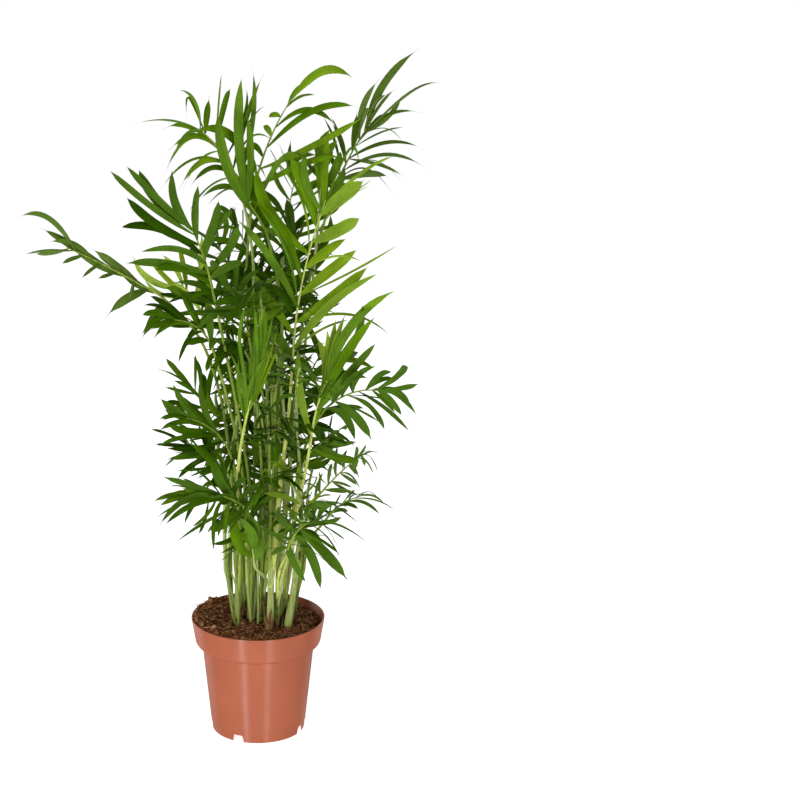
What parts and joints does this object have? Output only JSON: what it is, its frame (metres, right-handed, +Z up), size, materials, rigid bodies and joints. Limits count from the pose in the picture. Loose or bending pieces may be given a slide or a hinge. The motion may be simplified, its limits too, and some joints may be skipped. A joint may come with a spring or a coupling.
{
  "type": "potted parlour palm",
  "caption": "Clump of slender green stems with arching pinnate fronds, growing in a round terracotta-coloured nursery pot filled with dark soil.",
  "frame": {"origin": "centre of the pot's flat underside, on the pot's axis", "axes": "+Z up along the pot's axis; -Y towards the viewer of the picture; +X to the viewer's right"},
  "size_m": [0.3641, 0.3517, 0.6157],
  "materials": {
    "pot": "satin terracotta-coloured plastic",
    "soil": "moist dark coir and peat",
    "stem": "smooth light green stem with dry sheaths",
    "leaf_dark": "slightly glossy deep green leaf",
    "leaf_mid": "slightly glossy mid green leaf",
    "leaf_bright": "young bright green leaf",
    "leaf_yellow": "yellow-green leaf"
  },
  "bodies": {
    "root": {"pot": "pot", "soil": "soil", "stem_01": "stem", "stem_02": "stem", "stem_03": "stem", "stem_04": "stem", "stem_05": "stem", "stem_06": "stem", "stem_07": "stem", "stem_08": "stem", "stem_09": "stem", "stem_10": "stem", "stem_11": "stem", "stem_12": "stem", "stem_13": "stem", "frond_01": "leaf_dark", "frond_02": "leaf_dark", "frond_03": "leaf_mid", "frond_04": "leaf_mid", "frond_05": "leaf_dark", "frond_06": "leaf_bright", "frond_07": "leaf_mid", "frond_08": "leaf_bright", "frond_09": "leaf_dark", "frond_10": "leaf_dark", "frond_11": "leaf_dark", "frond_12": "leaf_dark", "frond_13": "leaf_dark", "frond_14": "leaf_dark", "frond_15": "leaf_dark", "frond_16": "leaf_dark", "frond_17": "leaf_mid", "frond_18": "leaf_bright", "frond_19": "leaf_yellow", "frond_20": "leaf_mid", "frond_21": "leaf_mid", "frond_22": "leaf_dark", "frond_23": "leaf_dark", "frond_24": "leaf_dark", "frond_25": "leaf_dark", "frond_26": "leaf_dark", "frond_27": "leaf_dark", "frond_28": "leaf_dark", "frond_29": "leaf_dark", "frond_30": "leaf_dark", "frond_31": "leaf_dark", "frond_32": "leaf_dark", "frond_33": "leaf_dark", "frond_34": "leaf_dark", "frond_35": "leaf_mid", "frond_36": "leaf_dark", "frond_37": "leaf_dark", "frond_38": "leaf_dark", "frond_39": "leaf_dark", "frond_40": "leaf_dark", "frond_41": "leaf_dark", "frond_42": "leaf_dark", "frond_43": "leaf_dark", "frond_44": "leaf_dark"}
  },
  "joints": []
}
